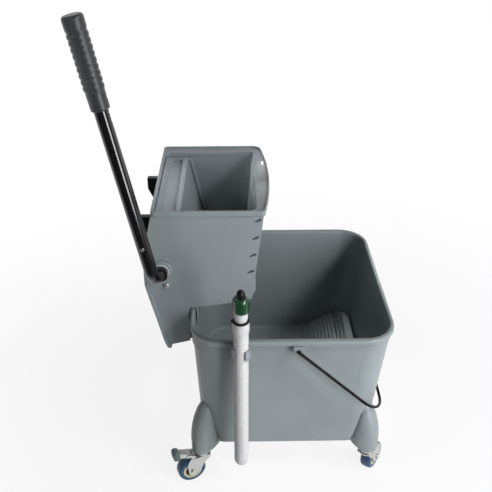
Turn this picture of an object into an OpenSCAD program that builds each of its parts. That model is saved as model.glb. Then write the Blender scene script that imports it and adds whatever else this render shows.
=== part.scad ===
// Mop bucket on four casters with a side-press wringer, a drain hose and a wire bail.
// Origin on the floor under the middle of the rim; +X to the bail end, +Y to the back, +Z up.

/* [Bucket] */
// rim length along X
rim_l = 341; // [320:1:360]
// rim width along Y
rim_w = 377; // [350:1:390]
// rim top above the floor
rim_z = 325; // [310:1:340]
// rim corner radius
rim_r = 55; // [40:1:65]
// underside of the tub above the floor
tub_z = 80; // [74:1:95]
// tub wall thickness
wall = 3.5; // [2.5:0.5:5]
// height of the washboard at the bail end
board_z = 144; // [125:1:165]

/* [Casters] */
// wheel diameter
wheel_d = 52; // [48:1:55]
// tyre width
wheel_w = 20; // [16:1:22]
// swivel axis to wheel axis
trail = 22; // [18:1:25]
// heading of the front wheel at the wringer end
head_fl = 204; // [0:1:359]
// heading of the front wheel at the bail end
head_fr = 54; // [0:1:359]
// heading of the rear wheel at the wringer end
head_rl = 25; // [0:1:359]
// heading of the rear wheel at the bail end
head_rr = 20; // [0:1:359]

/* [Wringer] */
// outer face of the front panel
wr_front = -97; // [-110:1:-90]
// outer face of the rear panel
wr_rear = 151; // [140:1:160]
// top of the wringer
wr_top = 513; // [500:1:530]
// drive shaft diameter
shaft_d = 16; // [12:1:18]

/* [Lever] */
// lever tube diameter
lever_d = 22; // [19:1:25]
// lever length from its bend to the grip top
lever_l = 407; // [380:1:440]
// lean of the lever to the outside
lean = 11; // [5:1:20]
// skew of the bend towards the bucket
skew = 25; // [0:1:30]
// grip length
grip_l = 133; // [110:1:150]
// grip diameter at its lower end
grip_d = 28.5; // [26:0.5:34]

/* [Bail] */
// bail wire diameter
wire_d = 5; // [4:0.5:6]
// reach of the bail from its pivot to its cross run
bail_l = 211; // [205:1:220]
// radius of the bail's two bends
bail_r = 60; // [50:1:70]
// droop of the hanging bail below level
droop = 43.5; // [42:0.5:45]

/* [Drain hose] */
// hose outside diameter
hose_d = 24.5; // [22:0.5:26]
// hose position along X
hose_x = -86; // [-95:1:-80]

/* [Hidden] */
$fn = 48;
grey = [0.55, 0.58, 0.60];
zinc = [0.78, 0.78, 0.76];
// swivel axes of the casters
leg_l = -158;
leg_r = 144;
leg_y = 160;
leg_z = 62;
wr = wheel_d / 2;
// crown of the fork above the floor, and half the room between its cheeks
crown_z = 53.4;
cheek = wheel_w / 2 + 1.5;
// brake pin, along the trail and above the floor
brake_x = 27;
brake_z = 60;
// wringer shaft, in XZ
sx = -217;
sz = 404;
shaft_r = shaft_d / 2;
// bail pivot, in XZ, and the plane its arms lie in
bx = 8;
bz = 307;
by = 194;
// middle plane of the lever and the radius of its bend
lever_y = -124;
bend_r = 20;
// hose centre line
hy = -203;
hz = 67;
hb = 25;

function at_leg(n) = n == 0 ? [leg_l, -leg_y] : n == 1 ? [leg_r, -leg_y] : n == 2 ? [leg_l, leg_y] : [leg_r, leg_y];
function heading(n) = n == 0 ? head_fl : n == 1 ? head_fr : n == 2 ? head_rl : head_rr;

// rectangle with round corners, centred
module rrect(l, w, r) {
    square([l - 2 * r, w], center = true);
    square([l, w - 2 * r], center = true);
    for (sx = [-1, 1], sy = [-1, 1])
        translate([sx * (l / 2 - r), sy * (w / 2 - r)])
            circle(r);
}

// cylinder along +Y from y0 to y1
module ycyl(r, y0, y1, x = 0, z = 0) {
    translate([x, y0, z])
        rotate([-90, 0, 0])
            cylinder(r = r, h = y1 - y0);
}

// side-view outline in XZ, extruded from y0 to y1
module side(y0, y1) {
    translate([0, y1, 0])
        rotate([90, 0, 0])
            linear_extrude(y1 - y0)
                children();
}

// tapered tub body, grown outwards by g, between two heights
module tub_form(g, z0, z1) {
    hull() {
        translate([0, 0, z1 - 1])
            linear_extrude(1)
                rrect(334 + 2 * g, 361 + 2 * g, 48 + g);
        translate([-5, 0, z0])
            linear_extrude(1)
                rrect(302 + 2 * g, 326 + 2 * g, 44 + g);
    }
}

module leg_form(n) {
    p = at_leg(n);
    sx = p[0] < 0 ? -1 : 1;
    sy = p[1] < 0 ? -1 : 1;
    hull() {
        translate([p[0], p[1], leg_z])
            cylinder(r = 17, h = 2, $fn = 32);
        translate([p[0] - sx * 1, p[1] - sy * 3, 96])
            cylinder(r = 19.5, h = 12, $fn = 32);
        translate([p[0] - sx * 14, p[1] - sy * 16, 166])
            cylinder(r = 14, h = 4, $fn = 32);
        translate([p[0] - sx * 26, p[1] - sy * 26, 91])
            cylinder(r = 14, h = 4, $fn = 32);
    }
}

module bucket_tub() {
    color(grey)
        difference() {
            union() {
                tub_form(0, tub_z, 318);
                translate([0, 0, 316])
                    linear_extrude(rim_z - 316)
                        rrect(rim_l, rim_w, rim_r);
                for (n = [0:3])
                    leg_form(n);
            }
            tub_form(-wall, 95, 327);
            // channel under the rolled rim, along the front and the back
            for (y = [-186, 182])
                translate([-110, y, 315])
                    cube([220, 4, 6.5]);
            translate([-5, 0, tub_z - 30])
                linear_extrude(41)
                    difference() {
                        rrect(292, 316, 40);
                        for (n = [0:3])
                            translate(at_leg(n) + [5, 0])
                                circle(58);
                    }
            for (n = [0:3])
                translate([at_leg(n)[0], at_leg(n)[1], leg_z - 1])
                    cylinder(r = 5.5, h = 34);
            translate([hose_x, -128, 80])
                cylinder(r = 9, h = 30);
        }
}

module washboard() {
    a = atan((board_z - 95) / 102);
    color(grey)
        intersection() {
            union() {
                side(-152, 152)
                    polygon([[44, 95.2], [152, 95.2], [152, board_z], [146, board_z]]);
                for (k = [0:18])
                    translate([46 + k * 5.4, -150, 94.6 + k * 5.4 * tan(a)])
                        rotate([0, -a, 0])
                            cube([2.4, 300, 4]);
            }
            translate([0, 0, 95.2])
                linear_extrude(80)
                    translate([-2, 0])
                        rrect(288, 317, 39);
        }
}

module bail_lugs() {
    color(grey)
        difference() {
            for (s = [-1, 1])
                side(s > 0 ? 176 : -190.5, s > 0 ? 190.5 : -176)
                    union() {
                        translate([bx, bz])
                            circle(8.5);
                        translate([bx - 8.5, bz])
                            square([17, 8.8]);
                    }
            tub_form(0.02, tub_z, 318);
            ycyl(wire_d / 2 + 0.05, -200, 200, bx, bz);
        }
}

// U of wire: two arms, two round bends and the cross run between them
module bail_wire() {
    r = wire_d / 2;
    color([0.06, 0.06, 0.06])
        union() {
            for (s = [-1, 1]) {
                ycyl(r, s > 0 ? 183 : -by, s > 0 ? by : -183, bx, bz);
                translate([bx, s * by, bz])
                    sphere(r + 0.25);
            }
            translate([bx, 0, bz])
                rotate([0, droop, 0]) {
                    for (s = [-1, 1])
                        translate([0, s * by, 0])
                            rotate([0, 90, 0])
                                cylinder(r = r, h = bail_l - bail_r);
                    for (s = [0, 1])
                        mirror([0, s, 0])
                            translate([bail_l - bail_r, by - bail_r, 0])
                                rotate_extrude(angle = 90)
                                    translate([bail_r, 0])
                                        circle(r);
                    ycyl(r, bail_r - by, by - bail_r, bail_l, 0);
                }
        }
}

module hose_clip() {
    color(grey)
        difference() {
            union() {
                translate([hose_x, hy, 308])
                    cylinder(r = hose_d / 2 + 3, h = 18);
                translate([hose_x - 6, -192, 308])
                    cube([12, 16, 8]);
            }
            translate([hose_x, hy, 307])
                cylinder(r = hose_d / 2, h = 20);
            translate([hose_x - 7, hy - 20, 307])
                cube([14, 20, 20]);
            tub_form(0.02, tub_z, 318);
            translate([0, 0, 315.98])
                linear_extrude(20)
                    rrect(rim_l, rim_w, rim_r);
        }
}

module drain_spigot() {
    color([0.85, 0.86, 0.86])
        difference() {
            union() {
                translate([hose_x, -128, hz])
                    cylinder(r = 9, h = 95 - hz);
                translate([hose_x, -128, 87])
                    cylinder(r = 14, h = 4);
                translate([hose_x, -128, 95])
                    cylinder(r = 13, h = 3);
                translate([hose_x, -128, hz])
                    sphere(9);
                ycyl(9, -166, -128, hose_x, hz);
            }
            translate([hose_x, -128, hz])
                cylinder(r = 6.5, h = 40);
            ycyl(6.5, -167, -128, hose_x, hz);
        }
}

module drain_hose() {
    r = hose_d / 2;
    color([0.92, 0.92, 0.92])
        union() {
            translate([hose_x, hy, hz + hb])
                difference() {
                    cylinder(r = r, h = 356 - hz - hb);
                    translate([0, 0, -1])
                        cylinder(r = 9, h = 400);
                }
            translate([hose_x, hy + hb, hz + hb])
                rotate([0, 90, 0])
                    rotate([0, 0, -90])
                        rotate_extrude(angle = 90)
                            translate([hb, 0])
                                difference() {
                                    circle(r);
                                    circle(9);
                                }
            difference() {
                ycyl(r, hy + hb, -143, hose_x, hz);
                ycyl(9, hy + hb - 1, -142, hose_x, hz);
            }
        }
}

module hose_cuff() {
    color([0.94, 0.94, 0.94])
        translate([hose_x, hy, 0])
            rotate_extrude()
                polygon([[7, 356], [11.5, 356], [13.2, 360], [13.4, 374], [12, 377], [7, 377]]);
}

module hose_collar() {
    color([0.96, 0.96, 0.96])
        translate([hose_x, hy, 0])
            rotate_extrude()
                polygon([[5, 377], [9.6, 377], [9.6, 382], [10.6, 383], [10.6, 396], [8, 396], [8, 408], [5, 408]]);
}

module cap_tether() {
    color([0.05, 0.05, 0.05])
        translate([hose_x, hy, 377])
            difference() {
                union() {
                    cylinder(r = 13.4, h = 3);
                    translate([-15.5, -3, 0])
                        cube([6, 6, 3]);
                }
                translate([0, 0, -1])
                    cylinder(r = 9.6, h = 6);
            }
}

module hose_cap() {
    color([0.10, 0.42, 0.16])
        translate([hose_x, hy, 0])
            difference() {
                rotate_extrude()
                    polygon([[0, 396.4], [13, 396.4], [13.4, 398], [13.2, 418], [11, 422], [0, 422]]);
                translate([0, 0, 396])
                    cylinder(r = 8.06, h = 12.8);
            }
}

module cap_knob() {
    color([0.05, 0.05, 0.05])
        translate([hose_x, hy, 0])
            rotate_extrude()
                polygon([[0, 422], [6.5, 422], [6.5, 429], [5, 433], [2.4, 435], [0, 435]]);
}

// outer side outline of the wringer
module wringer_outline() {
    polygon([[-228, wr_top - 8], [-238, 463], [-243, 430], [-246, 402], [-246, 379], [-240, 350], [-230, 308],
        [-219, 258], [-214, 246], [-208, 244], [-206, 252], [-174, 260], [-174, 330], [-144, 333], [-74, 343],
        [-66, 348], [-63, 362], [-60, 404], [-55, 443], [-48, wr_top - 8]]);
}

// mop space and mechanism bay inside the walls, open at the top and under the bay
module wringer_hollow() {
    polygon([[-223, wr_top + 5], [-234.2, 463], [-239.4, 430], [-242.4, 402], [-242.4, 380], [-236.5, 351],
        [-226.5, 308], [-215.6, 259], [-211, 246], [-209.5, 235], [-177.5, 235], [-177.5, 336.5],
        [-144, 336.5], [-76, 346.8], [-70.5, 351], [-68, 380], [-62.5, wr_top + 5]]);
}

// space outside the inner wall, between the panels' flanges
module wringer_relief() {
    polygon([[-59, wr_top + 5], [-64.5, 380], [-67.5, 349], [-66, 340], [-40, 340], [-30, wr_top + 5]]);
}

module wringer_housing() {
    color(grey)
        difference() {
            union() {
                side(wr_front, wr_rear)
                    wringer_outline();
                // bosses that carry the shaft bushes
                ycyl(17, wr_front - 2.5, wr_front + 6, sx, sz);
                ycyl(17, wr_rear - 6, wr_rear + 2.5, sx, sz);
            }
            difference() {
                side(wr_front + 3.5, wr_rear - 3.5)
                    wringer_hollow();
                ycyl(17, wr_front - 2.5, wr_front + 6, sx, sz);
                ycyl(17, wr_rear - 6, wr_rear + 2.5, sx, sz);
            }
            side(wr_front + 3.5, wr_rear - 3.5)
                wringer_relief();
            ycyl(11, wr_front - 5, wr_rear + 5, sx, sz);
            // slots in the outer wall that the cranks swing through
            for (y = [-50, 104])
                translate([-256, y - 8, 412])
                    cube([28, 16, 82]);
            // slanted slots down the inner flange of both panels
            for (k = [0:3], y = [wr_front, wr_rear])
                side(y - 6, y + 6)
                    translate([-57 - k * 4, 497 - k * 32])
                        rotate(22)
                            slot(9, 4);
            // drain slots in the floor of the mop space
            for (k = [0:8])
                translate([-134, wr_front + 22 + k * 24, 325])
                    cube([56, 10, 30]);
        }
}

module slot(l, w) {
    square([l - w, w], center = true);
    for (s = [-1, 1])
        translate([s * (l - w) / 2, 0])
            circle(w / 2);
}

module wringer_rim() {
    color(grey)
        difference() {
            translate([0, 0, wr_top - 8])
                linear_extrude(8)
                    union() {
                        translate([-143, (wr_front + wr_rear + 23.5) / 2])
                            rrect(170, wr_rear - wr_front + 27.5, 6);
                        intersection() {
                            translate([-810, 37])
                                circle(776, $fn = 240);
                            translate([-66, wr_front - 2])
                                square([36, wr_rear - wr_front + 27.5]);
                        }
                    }
            translate([0, 0, wr_top - 9])
                linear_extrude(10)
                    translate([(-223 - 60) / 2, (wr_front + wr_rear) / 2])
                        rrect(163, wr_rear - wr_front - 7, 8);
            translate([-46, 92, wr_top - 9])
                cube([5, 20, 12]);
        }
}

module wringer_grate() {
    color(grey)
        difference() {
            translate([-132, wr_front + 12, 341])
                rotate([0, -6.5, 0])
                    cube([52, 224, 3]);
            for (k = [0:10], j = [0:2])
                translate([-122 + j * 16, wr_front + 22 + k * 20, 330])
                    cylinder(r = 4, h = 30);
        }
}

// bearing plate that sits on the rim, with its hook inside the tub and its pad outside
module wringer_saddle() {
    color(grey)
        side(wr_front + 3.5, 128)
            polygon([[-174, 262], [-171, 262], [-171, rim_z], [-161.6, rim_z], [-160.6, 292], [-158.5, 290],
                [-158.5, 331.4], [-174, 329.9]]);
}

module bush(y0, y1, f0, f1) {
    color([0.80, 0.80, 0.78])
        difference() {
            union() {
                ycyl(11, y0, y1, sx, sz);
                ycyl(14, f0, f1, sx, sz);
            }
            ycyl(shaft_r + 0.05, -300, 300, sx, sz);
        }
}

module shaft_bush_front() {
    bush(wr_front - 2.5, wr_front + 6, wr_front - 4.5, wr_front - 2.5);
}

module shaft_bush_rear() {
    bush(wr_rear - 6, wr_rear + 2.5, wr_rear + 2.5, wr_rear + 4.5);
}

module drive_shaft() {
    color([0.08, 0.08, 0.08])
        union() {
            ycyl(shaft_r, -107, wr_rear + 8, sx, sz);
            ycyl(10, wr_rear + 5, wr_rear + 9, sx, sz);
        }
}

// crank with its pushing nose, centred on plane y
module crank(y) {
    color([0.07, 0.07, 0.07])
        difference() {
            side(y - 6, y + 6)
                union() {
                    translate([sx, sz])
                        circle(14);
                    polygon([[sx - 13, sz + 4], [sx + 8, sz + 10], [sx - 6, sz + 49], [sx - 7.5, sz + 79],
                        [sx - 38, sz + 79], [sx - 38, sz + 58]]);
                }
            ycyl(shaft_r, y - 20, y + 20, sx, sz);
        }
}

module crank_front() {
    crank(-50);
}

module crank_rear() {
    crank(104);
}

// lever's own frame: the bend starts at its origin, and the straight tube runs up its Z
module at_lever() {
    translate([sx, wr_front - 7, sz])
        rotate([0, -lean, 0])
            rotate([0, 0, -skew])
                translate([0, (lever_y - wr_front + 7) / cos(skew), bend_r])
                    children();
}

module lever_tube() {
    r = lever_d / 2;
    color([0.05, 0.05, 0.05])
        difference() {
            union() {
                at_lever() {
                    cylinder(r = r, h = lever_l - 6);
                    translate([0, bend_r, 0])
                        rotate([0, 90, 0])
                            rotate([0, 0, -90])
                                rotate_extrude(angle = 90)
                                    translate([bend_r, 0])
                                        circle(r);
                    translate([0, bend_r, -bend_r])
                        rotate([-90, 0, 0])
                            cylinder(r = r, h = 3);
                }
                // hub welded to the tube's end
                ycyl(12, wr_front - 14, wr_front - 5, sx, sz);
            }
            translate([sx - 30, wr_front - 5, sz - 30])
                cube([60, 20, 60]);
            ycyl(shaft_r, -107, wr_front, sx, sz);
            at_lever() {
                translate([0, 0, 4])
                    cylinder(r = r - 2, h = lever_l);
                rotate([0, 0, skew])
                    ycyl(2.5, -30, 30, 0, 46);
            }
        }
}

module lever_grip() {
    r = grip_d / 2;
    color([0.16, 0.16, 0.17])
        at_lever()
            translate([0, 0, lever_l - grip_l])
                difference() {
                    rotate_extrude()
                        polygon([[0, 0], [r - 1.5, 0], [r, 2], [r, 28],
                            for (k = [0:8]) each [[r + 0.7, 30 + k * 9], [r + 1.4, 32 + k * 9],
                                [r + 1.4, 35 + k * 9], [r + 0.7, 37 + k * 9]],
                            [r + 1.2, 112], [r + 1.2, grip_l - 5], [r - 1, grip_l], [0, grip_l]]);
                    translate([0, 0, -1])
                        cylinder(r = lever_d / 2, h = grip_l - 5);
                }
}

// round-headed pin through the lever, just above its bend
module lever_bolt() {
    r = lever_d / 2;
    color([0.30, 0.30, 0.31])
        at_lever()
            rotate([0, 0, skew])
                union() {
                    ycyl(2.5, -r - 1, r + 1, 0, 46);
                    ycyl(4, -r - 2, -r, 0, 46);
                    ycyl(4, r, r + 2, 0, 46);
                }
}

module press_plate() {
    color(grey)
        difference() {
            side(wr_front + 6, wr_rear - 6)
                polygon([[-220, 505], [-186, 505], [-182.5, 503.5], [-180, 498], [-148, 352], [-172, 352], [-205, 452],
                    [-220, 452]]);
            // hollow back, between the end cheeks and two ribs
            for (k = [0:2])
                translate([0, wr_front + 10 + k * 78.7, 0])
                    side(0, 74.6)
                        polygon([[-216, 496], [-188, 496], [-155, 351], [-176, 351], [-209, 451], [-216, 451]]);
            // tray in the top
            translate([-214, wr_front + 12, 500.5])
                cube([24, wr_rear - wr_front - 24, 10]);
        }
}

// caster pieces, built at the origin with the wheel trailing along +X
module at_caster(n) {
    translate([at_leg(n)[0], at_leg(n)[1], 0])
        rotate([0, 0, heading(n)])
            children();
}

module stem(n) {
    color(zinc)
        at_caster(n)
            union() {
                cylinder_at(14, crown_z + 3.1, leg_z);
                cylinder_at(5.5, leg_z - 1, leg_z + 30);
                cylinder_at(4, crown_z - 1, crown_z + 4);
                cylinder_at(6.5, crown_z - 2.6, crown_z - 0.3);
            }
}

module cylinder_at(r, z0, z1) {
    translate([0, 0, z0])
        cylinder(r = r, h = z1 - z0);
}

module fork(n) {
    color(zinc)
        at_caster(n)
            difference() {
                union() {
                    // crown and the two cheeks
                    intersection() {
                        cylinder_at(16, crown_z, crown_z + 2.6);
                        translate([-20, -cheek - 2, 50])
                            cube([40, 2 * cheek + 4, 8]);
                    }
                    translate([0, -cheek - 2, crown_z])
                        cube([24, 2 * cheek + 4, 2.6]);
                    for (s = [-1, 1])
                        side(s > 0 ? cheek : -cheek - 2, s > 0 ? cheek + 2 : -cheek)
                            union() {
                                polygon([[-12, crown_z + 2.6], [-12, 51], [0, 40], [10, 22], [trail + 8, 20],
                                    [trail + 11, 44], [26, crown_z + 2.6]]);
                                translate([trail, wr])
                                    circle(9);
                            }
                    if (n == 0 || n == 2)
                        brake_ears();
                }
                cylinder_at(4.06, 45, 60);
                ycyl(3, -30, 30, trail, wr);
            }
}

// ears on the crown, with the pin that the brake turns on
module brake_ears() {
    for (s = [-1, 1])
        side(s > 0 ? 7.4 : -9.4, s > 0 ? 9.4 : -7.4)
            polygon([[12, 55], [24, 55], [31.5, 58.5], [31, 63.5], [25, 63.5]]);
    ycyl(1.45, -9.4, 9.4, brake_x, brake_z);
}

module axle(n) {
    color(zinc)
        at_caster(n)
            union() {
                ycyl(3, -cheek - 2, cheek + 2, trail, wr);
                ycyl(5, -cheek - 4.5, -cheek - 2, trail, wr);
                ycyl(5, cheek + 2, cheek + 4.5, trail, wr);
            }
}

module hub(n) {
    h = wheel_w / 2;
    color([0.86, 0.84, 0.72])
        at_caster(n)
            translate([trail, 0, wr])
                rotate([-90, 0, 0])
                    rotate_extrude()
                        polygon([[3.06, -h - 0.6], [6, -h - 0.6], [6, -h + 2.5], [12, -h + 2.5], [13, -h + 0.5],
                            [18, -h + 0.5], [18, h - 0.5], [13, h - 0.5], [12, h - 2.5], [6, h - 2.5],
                            [6, h + 0.6], [3.06, h + 0.6]]);
}

module tyre(n) {
    h = wheel_w / 2;
    color([0.10, 0.26, 0.46])
        at_caster(n)
            translate([trail, 0, wr])
                rotate([-90, 0, 0])
                    rotate_extrude()
                        polygon([[18, -h + 0.5], [19, -h], [wr - 3, -h], [wr - 0.8, -h + 2], [wr, -h + 5],
                            [wr, h - 5], [wr - 0.8, h - 2], [wr - 3, h], [19, h], [18, h - 0.5]]);
}

// foot brake: a pressed lever on the fork's tail and its moulded cap
module brake_lever(n) {
    color(zinc)
        at_caster(n)
            difference() {
                union() {
                    side(-7, 7)
                        polygon([[22, 58.4], [24, 56.6], [30, 57.2], [44, 62], [44, 72], [30, 67]]);
                    ycyl(3.3, -7, 7, brake_x, brake_z);
                }
                ycyl(1.5, -20, 20, brake_x, brake_z);
            }
}

module brake_cap(n) {
    color([0.33, 0.36, 0.38])
        at_caster(n)
            side(-9, 9)
                polygon([[44, 58], [53, 59], [56, 62], [56, 75], [52, 78], [44, 75.5]]);
}

module caster_stem_fl() { stem(0); }
module caster_stem_fr() { stem(1); }
module caster_stem_rl() { stem(2); }
module caster_stem_rr() { stem(3); }
module caster_fork_fl() { fork(0); }
module caster_fork_fr() { fork(1); }
module caster_fork_rl() { fork(2); }
module caster_fork_rr() { fork(3); }
module wheel_axle_fl() { axle(0); }
module wheel_axle_fr() { axle(1); }
module wheel_axle_rl() { axle(2); }
module wheel_axle_rr() { axle(3); }
module wheel_hub_fl() { hub(0); }
module wheel_hub_fr() { hub(1); }
module wheel_hub_rl() { hub(2); }
module wheel_hub_rr() { hub(3); }
module tyre_fl() { tyre(0); }
module tyre_fr() { tyre(1); }
module tyre_rl() { tyre(2); }
module tyre_rr() { tyre(3); }
module brake_lever_fl() { brake_lever(0); }
module brake_lever_rl() { brake_lever(2); }
module brake_cap_fl() { brake_cap(0); }
module brake_cap_rl() { brake_cap(2); }

bucket_tub();
washboard();
bail_lugs();
hose_clip();
drain_spigot();
drain_hose();
hose_cuff();
hose_collar();
cap_tether();
hose_cap();
cap_knob();
bail_wire();
wringer_housing();
wringer_rim();
wringer_grate();
wringer_saddle();
shaft_bush_front();
shaft_bush_rear();
drive_shaft();
crank_front();
crank_rear();
lever_tube();
lever_grip();
lever_bolt();
press_plate();
caster_stem_fl();
caster_stem_fr();
caster_stem_rl();
caster_stem_rr();
caster_fork_fl();
caster_fork_fr();
caster_fork_rl();
caster_fork_rr();
wheel_axle_fl();
wheel_axle_fr();
wheel_axle_rl();
wheel_axle_rr();
wheel_hub_fl();
wheel_hub_fr();
wheel_hub_rl();
wheel_hub_rr();
tyre_fl();
tyre_fr();
tyre_rl();
tyre_rr();
brake_lever_fl();
brake_lever_rl();
brake_cap_fl();
brake_cap_rl();
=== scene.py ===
import bpy
import bmesh
import math
from mathutils import Matrix, Vector


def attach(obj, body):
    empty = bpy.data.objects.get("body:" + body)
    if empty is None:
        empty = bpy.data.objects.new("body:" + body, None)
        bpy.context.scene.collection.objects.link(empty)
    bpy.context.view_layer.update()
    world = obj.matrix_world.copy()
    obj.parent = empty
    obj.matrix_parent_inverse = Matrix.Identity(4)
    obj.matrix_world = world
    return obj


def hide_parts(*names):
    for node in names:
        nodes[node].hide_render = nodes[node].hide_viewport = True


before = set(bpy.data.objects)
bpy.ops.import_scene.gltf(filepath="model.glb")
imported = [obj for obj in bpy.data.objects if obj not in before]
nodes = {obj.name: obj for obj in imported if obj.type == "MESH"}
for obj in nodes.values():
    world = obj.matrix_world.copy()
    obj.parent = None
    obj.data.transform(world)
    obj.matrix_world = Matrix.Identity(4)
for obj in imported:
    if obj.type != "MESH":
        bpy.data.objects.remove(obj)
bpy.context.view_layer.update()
MM = 0.001

# ---- Camera, floor and light ----
# A long lens looks down at thirty degrees on the hose side. The backdrop and the floor are white, the
# room behind the lens is dim, and a near softbox on the bail's side is the key. Three small boxes with
# grids reach into the mop space, over the washboard and onto the wringer's flange.


def new_object(name, data):
    """A new object in the scene that shows this data."""
    made = bpy.data.objects.new(name, data)
    bpy.context.collection.objects.link(made)
    return made


camera_data = bpy.data.cameras.new("camera")
camera = new_object("camera", camera_data)
camera.location = (-0.0922, -1.078, 1.017)
camera.rotation_euler = (math.radians(60.0), 0.0, math.radians(-0.924))
camera_data.lens = 51.07
camera_data.sensor_width = 36.0
camera_data.clip_start = 0.05
bpy.context.scene.camera = camera
bpy.context.scene.view_settings.view_transform = "Standard"


def add_node(tree, kind, **values):
    """A new node in a tree. Each value sets the input socket of that name, with _ for a space."""
    node = tree.nodes.new(kind)
    for name, value in values.items():
        node.inputs[name.replace("_", " ")].default_value = value
    return node


def maths(tree, operation, a, b):
    """One sum of two values, each a number or an output."""
    node = tree.nodes.new("ShaderNodeMath")
    node.operation = operation
    for place, value in enumerate((a, b)):
        if isinstance(value, (int, float)):
            node.inputs[place].default_value = value
        else:
            tree.links.new(value, node.inputs[place])
    return node.outputs[0]


def seen_rays(tree):
    """One where a ray comes straight from the lens, off gloss or through glass, and zero elsewhere."""
    path = tree.nodes.new("ShaderNodeLightPath")
    seen = path.outputs["Is Camera Ray"]
    for other in ("Is Glossy Ray", "Is Transmission Ray"):
        seen = maths(tree, "MAXIMUM", seen, path.outputs[other])
    return seen


def dimmed_in_front(tree, place, low, high, least):
    """White for the lens. In gloss it falls from white at y = high to its least at y = low."""
    way = tree.nodes.new("ShaderNodeSeparateXYZ")
    tree.links.new(tree.nodes.new("ShaderNodeTexCoord").outputs[place], way.inputs[0])
    depth = add_node(tree, "ShaderNodeMapRange", From_Min=low, From_Max=high, To_Min=least, To_Max=1.0)
    tree.links.new(way.outputs["Y"], depth.inputs["Value"])
    straight = tree.nodes.new("ShaderNodeLightPath").outputs["Is Camera Ray"]
    return maths(tree, "MAXIMUM", straight, depth.outputs[0])


def mix_shaders(tree, share, first, second):
    """The first shader where the share is zero, and the second where it is one."""
    node = tree.nodes.new("ShaderNodeMixShader")
    for place, source in enumerate((share, first.outputs[0], second.outputs[0])):
        tree.links.new(source, node.inputs[place])
    return node


studio = bpy.data.worlds.new("studio")
bpy.context.scene.world = studio
studio.use_nodes = True
room = studio.node_tree
room.nodes.clear()
room_light = add_node(room, "ShaderNodeBackground", Color=(0.94, 0.97, 1.0, 1), Strength=0.06)
room_seen = add_node(room, "ShaderNodeBackground", Color=(1, 1, 1, 1))
room.links.new(dimmed_in_front(room, "Generated", 0.0, 0.6, 0.06), room_seen.inputs["Strength"])
room_mix = mix_shaders(room, seen_rays(room), room_light, room_seen)
room.links.new(room_mix.outputs[0], room.nodes.new("ShaderNodeOutputWorld").inputs[0])

bpy.ops.object.select_all(action="DESELECT")
bpy.ops.mesh.primitive_plane_add(size=24, location=(0, 0, 0))
floor = bpy.context.object
floor.name = "floor"
floor_paper = bpy.data.materials.new("floor_paper")
floor_paper.use_nodes = True
paper = floor_paper.node_tree
paper.nodes.clear()
paper_card = add_node(paper, "ShaderNodeBsdfDiffuse", Color=(0.62, 0.63, 0.64, 1))
paper_shade = add_node(paper, "ShaderNodeBsdfDiffuse", Color=(0.9, 0.9, 0.9, 1))
paper_glow = add_node(paper, "ShaderNodeEmission", Color=(1, 1, 1, 1))
paper.links.new(dimmed_in_front(paper, "Object", -0.6, -0.22, 0.04), paper_glow.inputs["Strength"])
# near the bucket the paper keeps more of its shadow, and further off it glows out to plain white
paper_reach = paper.nodes.new("ShaderNodeVectorMath")
paper_reach.operation = "LENGTH"
paper.links.new(paper.nodes.new("ShaderNodeTexCoord").outputs["Object"], paper_reach.inputs[0])
paper_far = add_node(paper, "ShaderNodeMapRange", From_Min=0.35, From_Max=1.1, To_Min=0.86, To_Max=1.0)
paper.links.new(paper_reach.outputs["Value"], paper_far.inputs["Value"])
paper_seen = mix_shaders(paper, paper_far.outputs[0], paper_shade, paper_glow)
paper_mix = mix_shaders(paper, seen_rays(paper), paper_card, paper_seen)
paper.links.new(paper_mix.outputs[0], paper.nodes.new("ShaderNodeOutputMaterial").inputs[0])
floor.data.materials.append(floor_paper)


def softbox(name, place, aim, size, power, spread=180):
    """A lamp with a square face turned to its aim. A grid narrows its spread, given in degrees."""
    data = bpy.data.lights.new(name, "AREA")
    data.shape = "RECTANGLE"
    data.size, data.size_y = size
    data.energy = power
    data.spread = math.radians(spread)
    box = new_object(name, data)
    box.location = place
    box.rotation_euler = (Vector(aim) - Vector(place)).to_track_quat("-Z", "Y").to_euler()


softbox("key_softbox", (0.85, -1.15, 0.5), (-0.15, 0.0, 0.25), (0.55, 0.9), 16)
softbox("fill_softbox", (-1.6, -1.1, 0.7), (-0.1, 0, 0.3), (0.4, 1.0), 2.5)
softbox("side_softbox", (1.05, -0.75, 1.45), (-0.1, 0.0, 0.35), (0.35, 0.35), 14)
softbox("rear_softbox", (-0.5, 1.6, 0.3), (-0.1, 0.1, 0.2), (0.9, 0.4), 9)
softbox("wringer_softbox", (-0.25, -0.05, 1.5), (-0.19, 0.03, 0.5), (0.16, 0.2), 0.05, 14)
softbox("board_softbox", (0.27, 0.0, 1.5), (0.115, 0.02, 0.13), (0.1, 0.1), 0.05, 11)
softbox("flange_softbox", (-0.9, -0.5, 1.2), (-0.105, 0.03, 0.55), (0.12, 0.12), 0.065, 8)

# ---- Moulded plastic ----
# The bucket and the wringer are injection mouldings in satin grey polypropylene. The skin has a fine
# grain from the mould, faint cloudy shading, short rub marks from use, and dust where it faces up.


def new_group(name, inputs, outputs):
    """An empty shader node group with named sockets: inputs give a name and a value."""
    group = bpy.data.node_groups.new(name, "ShaderNodeTree")
    for label, value in inputs:
        kind = "NodeSocketColor" if isinstance(value, tuple) else "NodeSocketFloat"
        socket = group.interface.new_socket(name=label, in_out="INPUT", socket_type=kind)
        socket.default_value = value
    for label, kind in outputs:
        group.interface.new_socket(name=label, in_out="OUTPUT", socket_type=kind)
    return group, group.nodes.new("NodeGroupInput"), group.nodes.new("NodeGroupOutput")


def span(tree, source, low, high):
    """Maps a value between two marks onto zero to one, held at its ends."""
    step = add_node(tree, "ShaderNodeMapRange", From_Min=low, From_Max=high)
    tree.links.new(source, step.inputs["Value"])
    return step.outputs[0]


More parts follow.
